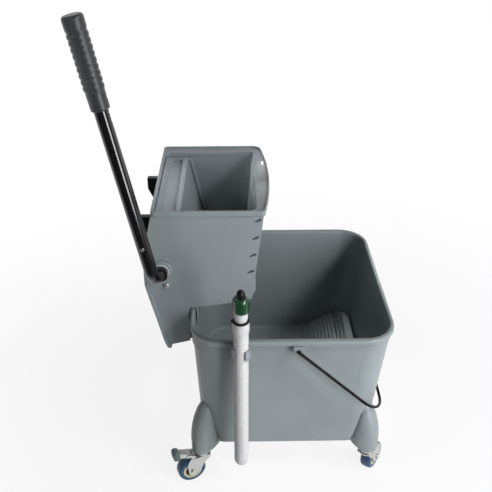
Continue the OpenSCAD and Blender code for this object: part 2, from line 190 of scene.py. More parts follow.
def product(tree, *values):
    """The values multiplied together, in their order."""
    result = values[0]
    for value in values[1:]:
        result = maths(tree, "MULTIPLY", result, value)
    return result


def blend_colour(tree, share, a, b):
    """The first colour where the share is zero, and the second where it is one."""
    node = tree.nodes.new("ShaderNodeMix")
    node.data_type = "RGBA"
    tree.links.new(share, node.inputs["Factor"])
    for place, value in ((6, a), (7, b)):
        if isinstance(value, tuple):
            node.inputs[place].default_value = value
        else:
            tree.links.new(value, node.inputs[place])
    return node.outputs[2]


def noise(tree, scale, detail=2.0, rough=0.5, stretch=None):
    """Noise on the object's own coordinates, stretched along its axes where that is given."""
    coords = tree.nodes.new("ShaderNodeTexCoord").outputs["Object"]
    if stretch:
        mapping = tree.nodes.new("ShaderNodeMapping")
        mapping.inputs["Scale"].default_value = stretch
        tree.links.new(coords, mapping.inputs["Vector"])
        coords = mapping.outputs[0]
    grain = add_node(tree, "ShaderNodeTexNoise", Scale=scale, Detail=detail, Roughness=rough)
    tree.links.new(coords, grain.inputs["Vector"])
    return grain.outputs[0]


def bump(tree, height, strength, depth):
    """A surface direction that follows the height, as strongly as is asked, to a depth in metres."""
    node = add_node(tree, "ShaderNodeBump", Distance=depth)
    tree.links.new(height, node.inputs["Height"])
    tree.links.new(strength, node.inputs["Strength"])
    return node.outputs[0]


SKIN_INPUTS = [
    ("Color", (0.5, 0.5, 0.5, 1)),
    ("Worn Color", (0.6, 0.6, 0.6, 1)),
    ("Roughness", 0.45),
    ("Grain", 0.25),
    ("Cloud", 0.5),
    ("Rub", 0.5),
    ("Dust", 0.3),
]
SURFACE_OUTPUTS = [
    ("Color", "NodeSocketColor"),
    ("Roughness", "NodeSocketFloat"),
    ("Normal", "NodeSocketVector"),
]
skin, skin_in, skin_out = new_group("moulded_skin", SKIN_INPUTS, SURFACE_OUTPUTS)
asked = skin_in.outputs
SHADE = (0.06, 0.07, 0.08, 1)
cloud = product(skin, span(skin, noise(skin, 7, 4, 0.6), 0.38, 0.68), asked["Cloud"])
rub_marks = span(skin, noise(skin, 90, 3, 0.65, (1.0, 1.0, 0.14)), 0.60, 0.72)
rub_place = span(skin, noise(skin, 5, 2), 0.48, 0.66)
rub = product(skin, rub_marks, rub_place, asked["Rub"])
facing = skin.nodes.new("ShaderNodeSeparateXYZ")
skin.links.new(skin.nodes.new("ShaderNodeNewGeometry").outputs["Normal"], facing.inputs[0])
upward = span(skin, facing.outputs["Z"], 0.55, 0.98)
dust_specks = span(skin, noise(skin, 38, 5, 0.7), 0.42, 0.75)
dust = product(skin, upward, dust_specks, asked["Dust"])
wear = maths(skin, "MAXIMUM", rub, dust)
shaded = blend_colour(skin, product(skin, cloud, 0.16), asked["Color"], SHADE)
skin.links.new(blend_colour(skin, wear, shaded, asked["Worn Color"]), skin_out.inputs["Color"])
rougher = maths(skin, "ADD", asked["Roughness"], product(skin, wear, 0.22))
rougher = maths(skin, "ADD", rougher, product(skin, cloud, 0.07))
skin.links.new(rougher, skin_out.inputs["Roughness"])
pebble = maths(skin, "ADD", noise(skin, 1500, 2), product(skin, noise(skin, 240, 3), 0.9))
skin.links.new(bump(skin, pebble, asked["Grain"], 0.0003), skin_out.inputs["Normal"])


def surface(name, group, values, **gloss):
    """A material from a surface group's colour, roughness and normal, with its finish on the shader."""
    made = bpy.data.materials.new(name)
    made.use_nodes = True
    tree = made.node_tree
    tree.nodes.clear()
    out = tree.nodes.new("ShaderNodeOutputMaterial")
    shader = add_node(tree, "ShaderNodeBsdfPrincipled", **gloss)
    maps = tree.nodes.new("ShaderNodeGroup")
    maps.node_tree = group
    for label, value in values.items():
        maps.inputs[label].default_value = value
    for label, socket in (("Color", "Base Color"), ("Roughness", "Roughness"), ("Normal", "Normal")):
        tree.links.new(maps.outputs[label], shader.inputs[socket])
    tree.links.new(shader.outputs[0], out.inputs[0])
    return made


def moulding(name, colour, worn, roughness, grain, cloud=0.5, rub=0.5, dust=0.3, **gloss):
    """A moulded plastic or rubber: its colours, its roughness, and how strong each mark on it is."""
    values = {
        "Color": (*colour, 1),
        "Worn Color": (*worn, 1),
        "Roughness": roughness,
        "Grain": grain,
        "Cloud": cloud,
        "Rub": rub,
        "Dust": dust,
    }
    return surface(name, skin, values, **gloss)


def dress(material, *names):
    """Gives carried-over nodes their material."""
    for name in names:
        nodes[name].data.materials.clear()
        nodes[name].data.materials.append(material)


bucket_plastic = moulding(
    "bucket_plastic", (0.262, 0.298, 0.312), (0.38, 0.41, 0.42),
    0.40, 0.16, cloud=0.8, rub=0.35, dust=0.35, Specular_IOR_Level=0.5,
)
wringer_plastic = moulding(
    "wringer_plastic", (0.262, 0.298, 0.316), (0.40, 0.43, 0.44),
    0.42, 0.16, cloud=0.7, rub=0.4, dust=0.3, Specular_IOR_Level=0.5,
)

# ---- Tub ----
# One tapered moulding with round corners and a rolled rim. Its upper corners swell into long gussets
# that run down to a point over each leg.
TUB_FOOT, TUB_FLOOR, TUB_TOP, RIM_TOP = 80, 95, 318, 325
TUB_WALL = 3.5
LEG_X, LEG_Y = {-1: -158, 1: 144}, 160


def clear_selection():
    """Goes back to object mode with nothing selected."""
    if bpy.context.mode != "OBJECT":
        bpy.ops.object.mode_set(mode="OBJECT")
    bpy.ops.object.select_all(action="DESELECT")


def added(name):
    """The piece that was added last, under its name."""
    piece = bpy.context.object
    piece.name = piece.data.name = name
    return piece


def pick(piece):
    """Selects one piece and makes it active."""
    clear_selection()
    bpy.context.view_layer.objects.active = piece
    piece.select_set(True)


def edit(kind=None):
    """Goes to edit mode with everything selected, on points, edges or faces where that is given."""
    bpy.ops.object.mode_set(mode="EDIT")
    if kind:
        bpy.ops.mesh.select_mode(type=kind)
    bpy.ops.mesh.select_all(action="SELECT")


def leave_edit(outwards=False):
    """Goes back to object mode, with the faces turned outwards first where that is asked."""
    if outwards:
        bpy.ops.mesh.select_all(action="SELECT")
        bpy.ops.mesh.normals_make_consistent(inside=False)
    bpy.ops.object.mode_set(mode="OBJECT")


def plate_corner(level, sx, sy):
    """Centre of a round corner of a level. A level is z, length, width, corner radius and middle."""
    z, length, width, radius, (mx, my) = level
    return (mx + sx * (length / 2 - radius)) * MM, (my + sy * (width / 2 - radius)) * MM, z * MM


def select_points(piece, wanted):
    """Selects the points of the piece in edit mode for which wanted(point) is true."""
    mesh = bmesh.from_edit_mesh(piece.data)
    for face in mesh.faces:
        face.select = False
    for edge in mesh.edges:
        edge.select = False
    for point in mesh.verts:
        point.select = bool(wanted(point))
    mesh.select_flush(True)
    bmesh.update_edit_mesh(piece.data)


def extrude(x, y, z):
    """Extrudes what is selected by a move in metres."""
    bpy.ops.mesh.extrude_region_move(TRANSFORM_OT_translate={"value": (x, y, z)})


def draw_levels(name, levels):
    """A piece with round corners drawn up through levels, left in edit mode."""
    z, length, width, radius, (mx, my) = levels[0]
    clear_selection()
    bpy.ops.mesh.primitive_plane_add(size=1, location=(0, 0, 0))
    piece = added(name)
    edit("VERT")
    bpy.ops.transform.resize(value=(length * MM, width * MM, 1))
    bpy.ops.mesh.bevel(offset=radius * MM, segments=12, affect="VERTICES")
    bpy.ops.mesh.select_all(action="SELECT")
    bpy.ops.transform.translate(value=(mx * MM, my * MM, z * MM))
    for old, new in zip(levels, levels[1:]):
        extrude(0, 0, (new[0] - old[0]) * MM)
        mesh = bmesh.from_edit_mesh(piece.data)
        mx, my = old[4][0] * MM, old[4][1] * MM
        quarter = {
            point.index: (1 if point.co.x > mx else -1, 1 if point.co.y > my else -1)
            for point in mesh.verts
            if point.select
        }
        grow = new[3] / old[3]
        for side in ((-1, -1), (-1, 1), (1, -1), (1, 1)):
            select_points(piece, lambda point: quarter.get(point.index) == side)
            before, after = plate_corner(old, *side), plate_corner(new, *side)
            bpy.ops.transform.resize(value=(grow, grow, 1), center_override=(*before[:2], after[2]))
            bpy.ops.transform.translate(value=(after[0] - before[0], after[1] - before[1], 0))
        select_points(piece, lambda point: point.index in quarter)
    return piece


def reshape(piece, kind, **settings):
    """Gives a piece a modifier of this kind with its settings, and applies it."""
    pick(piece)
    modifier = piece.modifiers.new("shape", kind)
    for name, value in settings.items():
        setattr(modifier, name, value)
    bpy.ops.object.modifier_apply(modifier=modifier.name)


def finish(piece, edge=1.2, angle=28, steps=3, smooth=35):
    """Rounds hard edges by a bevel, turns the faces outwards and shades the piece smooth."""
    pick(piece)
    edit()
    bpy.ops.mesh.remove_doubles(threshold=0.00001)
    leave_edit(True)
    if edge:
        reshape(
            piece, "BEVEL", width=edge * MM, segments=steps, limit_method="ANGLE",
            angle_limit=math.radians(angle), harden_normals=False,
        )
    bpy.ops.object.shade_smooth_by_angle(angle=math.radians(smooth))
    reshape(piece, "WEIGHTED_NORMAL", keep_sharp=True)
    return piece


def select_faces(piece, wanted):
    """Selects the faces of the piece in edit mode for which wanted(face) is true."""
    mesh = bmesh.from_edit_mesh(piece.data)
    for face in mesh.faces:
        face.select = bool(wanted(face))
    mesh.select_flush(True)
    bmesh.update_edit_mesh(piece.data)


def fit(piece, body, material, *stands_for):
    """Gives a new piece its material, lets it ride on its body, and hides what it stands for."""
    piece.data.materials.clear()
    piece.data.materials.append(material)
    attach(piece, body)
    if stands_for:
        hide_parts(*stands_for)


def tub_level(z, grow=0.0):
    """The tub's outline at a height, grown outwards."""
    rise = (z - TUB_FOOT) / (TUB_TOP - TUB_FOOT)
    length, width = 302 + 32 * rise + 2 * grow, 326 + 35 * rise + 2 * grow
    return z, length, width, 44 + 4 * rise + grow, (-5 + 5 * rise, 0)


tub_levels = [
    tub_level(TUB_FOOT),
    tub_level(200),
    tub_level(312),
    (314.5, 334, 361, 49, (0, 0)),
    (316, 340, 376, 54.5, (0, 0)),
    (318, 341, 377, 55, (0, 0)),
    (323, 341, 377, 55, (0, 0)),
    (RIM_TOP, 337, 373, 53, (0, 0)),
    (RIM_TOP, 331, 361, 49, (0, 0)),
    (323, 328, 356, 46, (0, 0)),
    tub_level(316, -TUB_WALL),
    tub_level(200, -TUB_WALL),
    tub_level(TUB_FLOOR + 8, -TUB_WALL),
    tub_level(TUB_FLOOR + 2.4, -TUB_WALL - 2),
    tub_level(TUB_FLOOR, -11),
]
tub = finish(draw_levels("tub", tub_levels), 1.2, 40)

# underside: a shallow recess inside the foot of the wall
bpy.ops.object.mode_set(mode="EDIT")
bpy.ops.mesh.select_mode(type="FACE")
bpy.ops.mesh.select_all(action="DESELECT")
select_faces(tub, lambda face: face.normal.z < -0.9 and face.calc_center_median().z < (TUB_FOOT + 1) * MM)
bpy.ops.mesh.inset(thickness=(TUB_WALL + 1) * MM)
extrude(0, 0, 10 * MM)
leave_edit()


def join_pieces(*pieces):
    """Joins pieces into the first."""
    clear_selection()
    for piece in pieces:
        piece.select_set(True)
    bpy.context.view_layer.objects.active = pieces[0]
    bpy.ops.object.join()
    return pieces[0]


def select_edges(piece, wanted):
    """Selects the edges of the piece in edit mode for which wanted(edge) is true."""
    mesh = bmesh.from_edit_mesh(piece.data)
    for edge in mesh.edges:
        edge.select = bool(wanted(edge))
    bmesh.update_edit_mesh(piece.data)


def rise(edge):
    """How much higher one end of an edge stands than its other end."""
    return abs(edge.verts[0].co.z - edge.verts[1].co.z)


def corner_gusset(sx, sy, levels):
    """A swelling on a corner of the tub, drawn through outlines. Each gives its height, how far round
    the corner and how far along the walls its creases lie, how far its middle stands out, and how round
    that middle is."""
    rings = []
    for z, turn, along, lift, soft in levels:
        level = tub_level(z, -1.5)
        cx, cy, cz = plate_corner(level, sx, sy)
        radius, angle = level[3] * MM, math.radians(turn)
        sharp = radius / math.cos(math.radians(45) - angle) * math.sqrt(0.5)
        ledge = radius + 2.9 * MM
        side, face = ledge * math.sin(angle) - along * MM, ledge * math.cos(angle)
        push = lift * MM
        start = {
            (1, 1): (sharp + push, sharp + push),
            (-1, 1): (side, face),
            (1, -1): (face, side),
            (-1, -1): (sharp, sharp),
        }
        clear_selection()
        bpy.ops.mesh.primitive_plane_add(size=2, location=(0, 0, 0))
        ring = bpy.context.object
        edit("VERT")
        for (qx, qy), (px, py) in start.items():
            select_points(ring, lambda point: (point.co - Vector((qx, qy, 0))).length < 0.001)
            bpy.ops.transform.translate(value=(cx + sx * px - qx, cy + sy * py - qy, cz))
        round_over = (radius * math.tan(math.radians(45) - angle), soft * MM)
        for stand, offset in zip((sharp, sharp + push), round_over):
            spot = Vector((cx + sx * stand, cy + sy * stand, cz))
            select_points(ring, lambda point: (point.co - spot).length < 0.00005)
            bpy.ops.mesh.bevel(offset=offset, segments=10, affect="VERTICES", clamp_overlap=True)
        leave_edit()
        rings.append(ring)
    gusset = join_pieces(*rings)
    gusset.name = gusset.data.name = "gusset"
    bpy.ops.object.mode_set(mode="EDIT")
    bpy.ops.mesh.select_mode(type="EDGE")
    heights = [level[0] * MM for level in levels]
    for low, high in zip(heights, heights[1:]):
        select_edges(
            gusset,
            lambda edge: rise(edge) < 0.0001
            and any(abs(edge.verts[0].co.z - height) < 0.0001 for height in (low, high)),
        )
        bpy.ops.mesh.bridge_edge_loops()
    bpy.ops.mesh.select_mode(type="FACE")

    def inner_plate(face):
        levels_met = [point.co.z for point in face.verts]
        low, high = min(levels_met), max(levels_met)
        return high - low < 0.0001 and heights[0] + 0.0001 < low and high < heights[-1] - 0.0001

    select_faces(gusset, inner_plate)
    bpy.ops.mesh.delete(type="ONLY_FACE")
    leave_edit()
    return finish(gusset, 0, 20, 3, 40)


# height, degrees round the corner, distance along the wall, stand-out, softness
WIDE_GUSSET = [
    (186, 40, 0, 0.6, 3),
    (188, 37, 0, 4.0, 5),
    (194, 34, 0, 6.0, 7),
    (204, 28, 0, 7.0, 9),
    (216, 16, 0, 7.2, 13),
    (229, 0, 0, 7.0, 20),
    (250, 0, 23, 5.6, 30),
    (270, 0, 44, 4.2, 38),
    (286, 0, 60, 2.9, 44),
    (302, 0, 78, 1.9, 46),
    (313, 0, 90, 1.55, 47),
]
STEEP_GUSSET = [
    (186, 38, 0, 0.6, 3),
    (188, 35, 0, 4.4, 5),
    (194, 30, 0, 7.0, 8),
    (206, 22, 0, 8.6, 12),
    (222, 12, 0, 8.8, 20),
    (245, 4, 0, 8.0, 28),
    (270, 0, 4, 5.8, 38),
    (295, 0, 10, 3.2, 44),
    (313, 0, 14, 1.6, 46),
]


def turned(name, profile, segments=48, centre=(0, 0, 0)):
    """A round piece drawn up the z axis through (radius, height) steps, in mm, closed at both ends. A
    step may add how far its middle shifts along x and y."""
    clear_selection()
    radius, height, *shift = profile[0]
    shift = shift or [0, 0]
    bpy.ops.mesh.primitive_circle_add(
        vertices=segments,
        radius=radius * MM,
        fill_type="NGON",
        location=(centre[0] + shift[0] * MM, centre[1] + shift[1] * MM, centre[2] + height * MM),
    )
    piece = added(name)
    bpy.ops.object.transform_apply()
    edit("FACE")
    for step in profile[1:]:
        new_radius, new_height, *new_shift = step
        new_shift = new_shift or [0, 0]
        extrude((new_shift[0] - shift[0]) * MM, (new_shift[1] - shift[1]) * MM, (new_height - height) * MM)
        middle = tuple(centre[axis] + value * MM for axis, value in enumerate((*new_shift, new_height)))
        grow = new_radius / radius
        bpy.ops.transform.resize(value=(grow, grow, 1), center_override=middle)
        radius, height, shift = new_radius, new_height, new_shift
    leave_edit(True)
    return piece


def carve(piece, cutter, operation="DIFFERENCE"):
    """Cuts the cutter's shape out of the piece, or with INTERSECT keeps only what lies inside it."""
    reshape(piece, "BOOLEAN", operation=operation, solver="EXACT", object=cutter)


# the tub's inside, so that nothing on the corners shows through the wall
core_levels = [tub_level(TUB_FLOOR - 2, -1.7), tub_level(200, -1.7), tub_level(300, -1.7)]
tub_core = finish(draw_levels("tub_core", core_levels), 0)
# radius, height, shift outwards along x and y, and how far the inner side is drawn to the tub
LEG_STEPS = [
    (15.6, 62, 0, 0, 1.0),
    (16.8, 64, 0, 0, 1.1),
    (18.2, 71, -0.5, -0.5, 1.4),
    (18.8, 79, -1, -1, 1.65),
    (19.7, 92, -1.5, -2.5, 1.42),
    (19.9, 106, -2.5, -4, 1.24),
    (19.4, 120, -4, -6, 1.12),
    (18.2, 135, -6.5, -8.5, 1.02),
    (16, 149, -9.5, -11, 0.95),
    (12.5, 159, -11.5, -12.5, 0.92),
    (8, 165, -12.5, -13.5, 0.9),
    (3, 168, -13, -14, 0.9),
]
# the web that ties each leg to the tub's foot, in the same terms without the last
WEB_STEPS = [(15.4, 63, 0, 0), (17.4, 66, -2, -2), (20, 72, -7, -6), (22.5, 79, -13, -11), (24, 88, -21, -18)]
tub_parts = [tub]
for sx, sy in ((-1, -1), (-1, 1), (1, -1), (1, 1)):
    tub_parts.append(corner_gusset(sx, sy, WIDE_GUSSET if sx > 0 else STEEP_GUSSET))
    leg_place = (LEG_X[sx] * MM, LEG_Y * sy * MM, 0)
    leg_steps, web_steps = (
        [(radius, z, move_x * sx, move_y * sy) for radius, z, move_x, move_y, *flare in steps]
        for steps in (LEG_STEPS, WEB_STEPS)
    )
    leg = turned("leg", leg_steps, 44, leg_place)
    edit("VERT")
    for radius, z, move_x, move_y, flare in LEG_STEPS:
        middle = leg_place[0] + move_x * sx * MM
        select_points(
            leg,
            lambda point: abs(point.co.z - z * MM) < 0.00002 and (middle - point.co.x) * sx > 0.0001,
        )
        bpy.ops.transform.resize(value=(flare, 1, 1), center_override=(middle, 0, 0))
    leave_edit()
    web = turned("leg_web", web_steps, 44, leg_place)
    tub_parts.append(finish(web, 0, 50, 2, 50))
    finish(leg, 0, 50, 2, 50)
    carve(leg, tub_core)
    tub_parts.append(leg)
bpy.data.objects.remove(tub_core)
tub = join_pieces(*tub_parts)
pick(tub)
bpy.ops.object.shade_smooth_by_angle(angle=math.radians(38))
fit(tub, "bucket", bucket_plastic, "bucket_tub")

# ---- Washboard ----
# A sloping board of raised ribs moulded across the floor at the bail's end, where mops are rubbed.
BOARD_FOOT_X, BOARD_TOP_X, BOARD_TOP_Z, BOARD_HALF = 44, 148, 153, 159
BOARD_RISE = math.atan2(BOARD_TOP_Z - TUB_FLOOR, BOARD_TOP_X - BOARD_FOOT_X)
RIB_PITCH, RIB_COUNT = 7.9, 13
FLOOR_RIB_PITCH, FLOOR_RIB_COUNT = 7.1, 8


def outline_plate(name, points, low, high):
    """A plate cut to an outline of (x, z) points in mm and drawn along y from low to high."""
    clear_selection()
    bpy.ops.mesh.primitive_plane_add(size=0.001, location=(0, 0, 0))
    plate = added(name)
    edit("VERT")
    bpy.ops.mesh.merge(type="CENTER")
    x, z = points[0]
    bpy.ops.transform.translate(value=(x * MM, low * MM, z * MM))
    for new_x, new_z in points[1:]:
        move = ((new_x - x) * MM, 0, (new_z - z) * MM)
        bpy.ops.mesh.extrude_vertices_move(TRANSFORM_OT_translate={"value": move})
        x, z = new_x, new_z
    mesh = bmesh.from_edit_mesh(plate.data)
    for point in mesh.verts:
        point.select = len(point.link_edges) == 1
    bpy.ops.mesh.edge_face_add()
    bpy.ops.mesh.select_all(action="SELECT")
    bpy.ops.mesh.edge_face_add()
    bpy.ops.mesh.select_all(action="SELECT")
    extrude(0, (high - low) * MM, 0)
    leave_edit(True)
    return plate


def set_on(piece, place):
    """Moves a piece that was modelled at the origin to its place, mesh and all."""
    pick(piece)
    piece.matrix_world = place
    bpy.ops.object.transform_apply()
    return piece


def at(x, y, z):
    """A place in mm."""
    return Matrix.Translation((x * MM, y * MM, z * MM))


def tilt(degrees, axis):
    """A turn about an axis, in degrees."""
    return Matrix.Rotation(math.radians(degrees), 4, axis)


def repeat(piece, count, step):
    """Repeats a piece in a row by an array that is then applied."""
    reshape(
        piece, "ARRAY", count=count, use_relative_offset=False, use_constant_offset=True,
        constant_offset_displace=tuple(value * MM for value in step),
    )


board_outline = [(BOARD_FOOT_X, TUB_FLOOR + 0.1), (BOARD_TOP_X + 4, TUB_FLOOR + 0.1)]
board_outline += [(BOARD_TOP_X + 4, BOARD_TOP_Z), (BOARD_TOP_X, BOARD_TOP_Z)]
board = outline_plate("washboard", board_outline, -BOARD_HALF, BOARD_HALF)
rib = outline_plate("rib", [(-1.5, -2), (1.5, -2), (1.2, 5), (-1.2, 5)], -BOARD_HALF, BOARD_HALF)
finish(rib, 0.7, 20, 3)
set_on(rib, at(BOARD_FOOT_X + 3.5, 0, TUB_FLOOR + 1.8) @ Matrix.Rotation(-BOARD_RISE, 4, "Y"))
repeat(rib, RIB_COUNT, (RIB_PITCH * math.cos(BOARD_RISE), 0, RIB_PITCH * math.sin(BOARD_RISE)))
board_levels = [(TUB_FLOOR - 1, 290, 319, 39, (-2, 0)), (TUB_FLOOR + 60, 290, 319, 39, (-2, 0))]
board_room = finish(draw_levels("board_room", board_levels), 0)
carve(board, board_room, "INTERSECT")
carve(rib, board_room, "INTERSECT")
bpy.data.objects.remove(board_room)
board = join_pieces(board, rib)
# the lowest ribs run out on the floor, each shorter than the last
floor_rib_outline = [(-1.6, -1), (1.6, -1), (1.3, 2.2), (-1.3, 2.2)]
for row in range(1, FLOOR_RIB_COUNT + 1):
    floor_rib = outline_plate("floor_rib", floor_rib_outline, -140, 137 - row * 30)
    finish(floor_rib, 0.7, 20, 3)
    set_on(floor_rib, at(BOARD_FOOT_X + 2 - row * FLOOR_RIB_PITCH, 0, TUB_FLOOR + 0.2))
    board = join_pieces(board, floor_rib)
fit(board, "bucket", bucket_plastic, "washboard")

# ---- Bail ----
# A carrying handle of black painted wire. Its two ends turn in through moulded lugs under the rim.


def softened(name, node, edge, angle=30):
    """A copy of a CAD node's mesh with its hard edges rounded as a moulding's are."""
    copy = nodes[node].data.copy()
    piece = new_object(name, copy)
    piece.data.name = name
    pick(piece)
    edit()
    bpy.ops.mesh.remove_doubles(threshold=0.00002)
    bpy.ops.mesh.dissolve_limited(angle_limit=math.radians(1.2))
    leave_edit()
    return finish(piece, edge, angle)


def fit_softened(name, node, edge, body, material, angle=30):
    """Fits a softened copy of a CAD node in place of that node."""
    fit(softened(name, node, edge, angle), body, material, node)


fit_softened("lugs", "bail_lugs", 1.3, "bucket", bucket_plastic)
fit_softened("hose_tabs", "hose_clip", 1.0, "bucket", bucket_plastic)

SHEEN_INPUTS = [
    ("Color", (0.02, 0.02, 0.02, 1)),
    ("Worn Color", (0.1, 0.1, 0.1, 1)),
    ("Roughness", 0.3),
    ("Orange Peel", 0.2),
    ("Scratches", 0.3),
    ("Smudges", 0.3),
]
coat, sheen_in, sheen_out = new_group("coated_metal", SHEEN_INPUTS, SURFACE_OUTPUTS)
asked = sheen_in.outputs
scratch = span(coat, noise(coat, 60, 4, 0.7, (1.0, 1.0, 0.06)), 0.62, 0.70)
scratch = product(coat, scratch, asked["Scratches"])
smudge = product(coat, span(coat, noise(coat, 22, 4, 0.6), 0.35, 0.75), asked["Smudges"])
coat.links.new(blend_colour(coat, scratch, asked["Color"], asked["Worn Color"]), sheen_out.inputs["Color"])
coat_rough = maths(coat, "ADD", asked["Roughness"], product(coat, smudge, 0.25))
coat_rough = maths(coat, "ADD", coat_rough, product(coat, scratch, 0.2))
coat.links.new(coat_rough, sheen_out.inputs["Roughness"])
peel = noise(coat, 420, 2)
coat.links.new(bump(coat, peel, asked["Orange Peel"], 0.0002), sheen_out.inputs["Normal"])


def metal(name, colour, worn, roughness, scratches, smudges=0.3, orange_peel=0.2, **gloss):
    """A painted or plated steel: its colours, its roughness, and how strong each mark on it is."""
    values = {
        "Color": (*colour, 1),
        "Worn Color": (*worn, 1),
        "Roughness": roughness,
        "Orange Peel": orange_peel,
        "Scratches": scratches,
        "Smudges": smudges,
    }
    return surface(name, coat, values, **gloss)


black_wire = metal(
    "black_wire", (0.004, 0.004, 0.005), (0.02, 0.02, 0.02),
    0.2, 0.3, Specular_IOR_Level=0.1,
)
dress(black_wire, "bail_wire")

# ---- Drain hose ----
# A ringed white polyethylene hose leaves the spigot under the floor, turns up beside the wall and is held
# in two tabs. A smooth cuff, a black tether ring, a collar, a green cap and a black knob close its end.
HOSE_X, HOSE_Y, HOSE_START, HOSE_LOW, HOSE_BEND, HOSE_TOP = -86, -203, -143, 67, 25, 356
HOSE_RADIUS, HOSE_WALL, RING_PITCH, RING_DEPTH = 12.25, 1.6, 4.0, 0.7

white_hose = moulding(
    "hose_white", (0.60, 0.60, 0.61), (0.46, 0.45, 0.43),
    0.38, 0.12, cloud=0.2, rub=0.08, dust=0.2, Subsurface_Weight=0.08, Subsurface_Scale=0.01,
)
run = (HOSE_START - HOSE_Y - HOSE_BEND) + HOSE_BEND * math.pi / 2 + (HOSE_TOP - HOSE_LOW - HOSE_BEND)
rings = round(run / RING_PITCH)
ring_step = run / rings
clear_selection()
bpy.ops.mesh.primitive_cylinder_add(
    vertices=40,
    radius=(HOSE_RADIUS - RING_DEPTH) * MM,
    depth=ring_step * MM,
    end_fill_type="NOTHING",
    location=(0, 0, 0),
)
hose = added("hose")
bpy.ops.object.mode_set(mode="EDIT")
bpy.ops.mesh.select_mode(type="EDGE")
select_edges(hose, lambda edge: rise(edge) > 0.0001)
bpy.ops.mesh.subdivide(number_cuts=5)
bpy.ops.mesh.select_mode(type="VERT")
for share, swell in ((1 / 3, 0.8 * RING_DEPTH), (0.0, RING_DEPTH)):
    height = share * ring_step / 2 * MM
    select_points(hose, lambda point: abs(abs(point.co.z) - height) < 0.00002)
    grow = 1 + swell / (HOSE_RADIUS - RING_DEPTH)
    bpy.ops.transform.resize(value=(grow, grow, 1), center_override=(0, 0, 0))
bpy.ops.mesh.select_all(action="SELECT")
bpy.ops.transform.translate(value=(0, 0, ring_step / 2 * MM))
leave_edit()
repeat(hose, rings, (0, 0, ring_step))
edit()
bpy.ops.mesh.remove_doubles(threshold=0.00001)
leave_edit()
clear_selection()
bpy.ops.curve.primitive_bezier_curve_add(location=(0, 0, 0))
path = bpy.context.object
spline = path.data.splines[0]
spline.bezier_points.add(2)
path.data.dimensions = "3D"
path.data.resolution_u = 48
# the handle length at which two knots draw a quarter circle
ARC_HANDLE = 0.5523 * HOSE_BEND
BEND_Y, BEND_Z = HOSE_Y + HOSE_BEND, HOSE_LOW + HOSE_BEND
route = [
    ((HOSE_START, HOSE_LOW), (HOSE_START + 13, HOSE_LOW), (HOSE_START - 17, HOSE_LOW)),
    ((BEND_Y, HOSE_LOW), (BEND_Y + 8, HOSE_LOW), (BEND_Y - ARC_HANDLE, HOSE_LOW)),
    ((HOSE_Y, BEND_Z), (HOSE_Y, BEND_Z - ARC_HANDLE), (HOSE_Y, BEND_Z + 40)),
    ((HOSE_Y, HOSE_TOP), (HOSE_Y, HOSE_TOP - 60), (HOSE_Y, HOSE_TOP + 20)),
]
for knot, ((y, z), (left_y, left_z), (right_y, right_z)) in zip(spline.bezier_points, route):
    knot.handle_left_type = knot.handle_right_type = "FREE"
    knot.co = (HOSE_X * MM, y * MM, z * MM)
    knot.handle_left = (HOSE_X * MM, left_y * MM, left_z * MM)
    knot.handle_right = (HOSE_X * MM, right_y * MM, right_z * MM)
reshape(hose, "CURVE", object=path, deform_axis="POS_Z")
reshape(hose, "SOLIDIFY", thickness=HOSE_WALL * MM, offset=-1)
bpy.data.objects.remove(path)
finish(hose, 0, smooth=70)
fit(hose, "bucket", white_hose, "drain_hose")

TIP = (HOSE_X * MM, HOSE_Y * MM, 0)


def twin(piece):
    """A copy of a piece with its own mesh."""
    copy = piece.copy()
    copy.data = piece.data.copy()
    bpy.context.collection.objects.link(copy)
    return copy


cuff_steps = [(10.5, 356), (11.6, 355.2), (12.4, 356.4), (13.2, 359), (13.3, 362), (12.9, 363)]
cuff_steps += [(13.35, 364.5), (13.4, 373), (12.6, 376), (11.2, 376.9)]
cuff = turned("hose_cuff_ribbed", cuff_steps, 56, TIP)
fit(finish(cuff, 0.3, 25, 2), "bucket", white_hose, "hose_cuff")
collar_steps = [(9.5, 377), (9.6, 382), (10.5, 383), (10.7, 384), (10.7, 387), (10.2, 388)]
collar_steps += [(10.7, 389), (10.7, 395), (10.1, 396.2), (8, 396.4), (7.9, 408)]
collar = turned("hose_collar_stepped", collar_steps, 56, TIP)
fit(finish(collar, 0.3, 25, 2), "bucket", white_hose, "hose_collar")

black_plastic = moulding(
    "black_plastic", (0.008, 0.008, 0.009), (0.03, 0.03, 0.03),
    0.33, 0.2, cloud=0.3, rub=0.5, dust=0.3, Specular_IOR_Level=0.2,
)
fit_softened("tether", "cap_tether", 0.7, "bucket", black_plastic)
cap_steps = [(12.4, 396.6), (13.0, 397.4), (13.1, 399), (13.1, 416), (12.6, 418.6)]
cap_steps += [(11.2, 420.8), (9.2, 421.8), (7.2, 422)]
cap = finish(turned("cap_ribbed", cap_steps, 72, TIP), 0, smooth=60)
cap_rib_outline = [(12.6, 400.4), (13.65, 401.6), (13.65, 415.2), (12.6, 416.8)]
cap_rib = finish(outline_plate("grip_rib", cap_rib_outline, -0.55, 0.55), 0.3, 25, 2)
CAP_RIBS = 20
ribs = [cap]
for number in range(CAP_RIBS):
    rib = twin(cap_rib)
    pick(rib)
    edit()
    bpy.ops.transform.rotate(
        value=math.radians(360 / CAP_RIBS * number), orient_axis="Z", center_override=(0, 0, 0)
    )
    bpy.ops.transform.translate(value=TIP)
    leave_edit()
    ribs.append(rib)
bpy.data.objects.remove(cap_rib)
cap = join_pieces(*ribs)
cap_green = moulding(
    "cap_green", (0.009, 0.055, 0.021), (0.04, 0.11, 0.06),
    0.2, 0.1, cloud=0.6, rub=0.3, dust=0.2, Coat_Weight=0.5, Coat_Roughness=0.12,
)
fit(cap, "cap", cap_green, "hose_cap")
